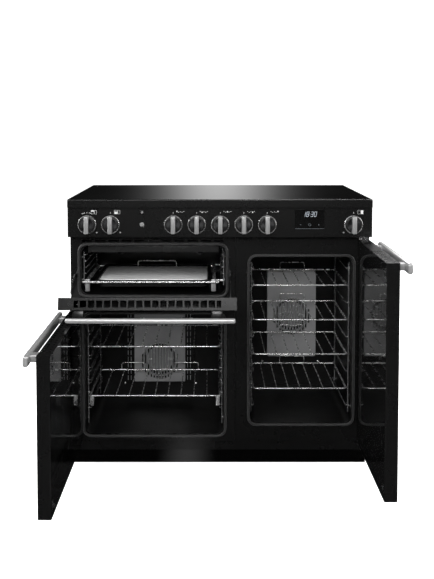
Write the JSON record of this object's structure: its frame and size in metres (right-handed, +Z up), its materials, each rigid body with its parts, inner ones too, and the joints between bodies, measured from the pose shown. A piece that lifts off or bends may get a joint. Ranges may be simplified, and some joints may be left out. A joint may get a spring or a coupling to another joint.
{
  "type": "range cooker",
  "caption": "Free-standing range cooker: glass hob, grill chamber over a main oven, tall fan oven beside them, doors open.",
  "frame": {"origin": "on the floor, under the middle of the hob's 1000 x 600 mm outline", "axes": "+X to the viewer's right along the front, +Y from the front to the wall behind, +Z up"},
  "size_m": [1.074, 1.109, 0.905],
  "materials": {
    "black_enamel": "gloss",
    "oven_enamel": "speckled gloss",
    "grey_enamel": "satin",
    "black_glass": "polished",
    "window_glass": "polished",
    "lamp_glass": "frosted",
    "brushed_steel": "brushed",
    "chrome": "polished",
    "galvanised": "matt",
    "black_plastic": "satin",
    "seal": "woven",
    "ceramic": "matt"
  },
  "bodies": {
    "cooker": {"plinth": "black_enamel", "side_panels": "black_enamel", "control_panel": "black_enamel", "left_fascia": "black_enamel", "right_fascia": "black_enamel", "hob_trim": "black_enamel", "grill_cavity": "oven_enamel", "main_cavity": "oven_enamel", "tall_cavity": "oven_enamel", "fan_covers": "grey_enamel", "hob_glass": "black_glass", "display_glass": "black_glass", "lamp_lenses": "lamp_glass", "indicator_lamps": "lamp_glass", "ring_elements": "brushed_steel", "grill_element": "brushed_steel", "knob_bezels": "chrome", "shelf_ladders": "chrome", "hinge_brackets": "chrome", "base_tray": "galvanised", "back_panel": "galvanised", "hob_tray": "galvanised", "fan_motors": "galvanised", "levelling_feet": "black_plastic", "rotary_switches": "black_plastic", "terminal_cover": "black_plastic", "door_seals": "seal", "hob_elements": "ceramic"},
    "grill_door": {"grill_door_frame": "black_enamel", "grill_door_inner": "black_enamel", "grill_door_handle": "brushed_steel", "grill_door_stays": "chrome"},
    "main_door": {"main_door_frame": "black_enamel", "main_door_panes": "window_glass", "main_door_handle": "brushed_steel", "main_door_catches": "chrome"},
    "tall_door": {"tall_door_frame": "black_enamel", "tall_door_inner": "black_enamel", "tall_door_handle": "brushed_steel", "tall_door_catches": "chrome"},
    "grill_pull_out": {"grill_pan": "oven_enamel", "grill_trivet": "grey_enamel", "grill_carriage": "chrome"},
    "light_button": {"light_button": "chrome"},
    "main_fan": {"main_fan": "brushed_steel"},
    "tall_fan": {"tall_fan": "brushed_steel"},
    "knob_grill": {"knob_grill": "black_plastic"},
    "knob_main_oven": {"knob_main_oven": "black_plastic"},
    "knob_tall_oven": {"knob_tall_oven": "black_plastic"},
    "knob_zone_1": {"knob_zone_1": "black_plastic"},
    "knob_zone_2": {"knob_zone_2": "black_plastic"},
    "knob_zone_3": {"knob_zone_3": "black_plastic"},
    "knob_zone_4": {"knob_zone_4": "black_plastic"},
    "knob_zone_5": {"knob_zone_5": "black_plastic"},
    "main_shelf_upper": {"main_shelf_upper": "chrome"},
    "main_shelf_lower": {"main_shelf_lower": "chrome"},
    "tall_shelf_1": {"tall_shelf_1": "chrome"},
    "tall_shelf_2": {"tall_shelf_2": "chrome"},
    "tall_shelf_3": {"tall_shelf_3": "chrome"},
    "tall_shelf_4": {"tall_shelf_4": "chrome"}
  },
  "joints": [
    {"name": "grill_door_hinge", "type": "hinge", "parent": "cooker", "child": "grill_door", "pos_m": [-0.2235, -0.281, 0.555], "axis": [1, 0, 0], "range_deg": [-77, 0]},
    {"name": "main_door_hinge", "type": "hinge", "parent": "cooker", "child": "main_door", "pos_m": [-0.478, -0.281, 0.087], "axis": [0, 0, -1], "range_deg": [-90, 8]},
    {"name": "tall_door_hinge", "type": "hinge", "parent": "cooker", "child": "tall_door", "pos_m": [0.478, -0.281, 0.087], "axis": [0, 0, 1], "range_deg": [-90, 8]},
    {"name": "grill_pull_out_slide", "type": "slide", "parent": "cooker", "child": "grill_pull_out", "axis": [0, -1, 0], "range_m": [0, 0.16]},
    {"name": "main_shelf_upper_slide", "type": "slide", "parent": "cooker", "child": "main_shelf_upper", "axis": [0, -1, 0], "range_m": [0, 0.22]},
    {"name": "main_shelf_lower_slide", "type": "slide", "parent": "cooker", "child": "main_shelf_lower", "axis": [0, -1, 0], "range_m": [0, 0.22]},
    {"name": "tall_shelf_1_slide", "type": "slide", "parent": "cooker", "child": "tall_shelf_1", "axis": [0, -1, 0], "range_m": [0, 0.22]},
    {"name": "tall_shelf_2_slide", "type": "slide", "parent": "cooker", "child": "tall_shelf_2", "axis": [0, -1, 0], "range_m": [0, 0.22]},
    {"name": "tall_shelf_3_slide", "type": "slide", "parent": "cooker", "child": "tall_shelf_3", "axis": [0, -1, 0], "range_m": [0, 0.22]},
    {"name": "tall_shelf_4_slide", "type": "slide", "parent": "cooker", "child": "tall_shelf_4", "axis": [0, -1, 0], "range_m": [0, 0.22]},
    {"name": "knob_grill_turn", "type": "hinge", "parent": "cooker", "child": "knob_grill", "pos_m": [-0.4355, -0.292, 0.8215], "axis": [0, -1, 0], "range_deg": [-270, 0]},
    {"name": "knob_main_oven_turn", "type": "hinge", "parent": "cooker", "child": "knob_main_oven", "pos_m": [-0.3588, -0.292, 0.8215], "axis": [0, -1, 0], "range_deg": [-270, 0]},
    {"name": "knob_tall_oven_turn", "type": "hinge", "parent": "cooker", "child": "knob_tall_oven", "pos_m": [0.4375, -0.292, 0.8215], "axis": [0, -1, 0], "range_deg": [-270, 0]},
    {"name": "knob_zone_1_turn", "type": "hinge", "parent": "cooker", "child": "knob_zone_1", "pos_m": [-0.153, -0.292, 0.8215], "axis": [0, -1, 0], "range_deg": [-270, 0]},
    {"name": "knob_zone_2_turn", "type": "hinge", "parent": "cooker", "child": "knob_zone_2", "pos_m": [-0.076, -0.292, 0.8215], "axis": [0, -1, 0], "range_deg": [-270, 0]},
    {"name": "knob_zone_3_turn", "type": "hinge", "parent": "cooker", "child": "knob_zone_3", "pos_m": [0.001, -0.292, 0.8215], "axis": [0, -1, 0], "range_deg": [-270, 0]},
    {"name": "knob_zone_4_turn", "type": "hinge", "parent": "cooker", "child": "knob_zone_4", "pos_m": [0.078, -0.292, 0.8215], "axis": [0, -1, 0], "range_deg": [-270, 0]},
    {"name": "knob_zone_5_turn", "type": "hinge", "parent": "cooker", "child": "knob_zone_5", "pos_m": [0.155, -0.292, 0.8215], "axis": [0, -1, 0], "range_deg": [-270, 0]},
    {"name": "light_button_push", "type": "slide", "parent": "cooker", "child": "light_button", "axis": [0, 1, 0], "range_m": [0, 0.002], "stiffness_N_per_m": 300},
    {"name": "main_fan_spin", "type": "hinge", "parent": "cooker", "child": "main_fan", "pos_m": [-0.223, 0.1, 0.251], "axis": [0, -1, 0], "continuous": true},
    {"name": "tall_fan_spin", "type": "hinge", "parent": "cooker", "child": "tall_fan", "pos_m": [0.2755, 0.1, 0.423], "axis": [0, -1, 0], "continuous": true}
  ]
}
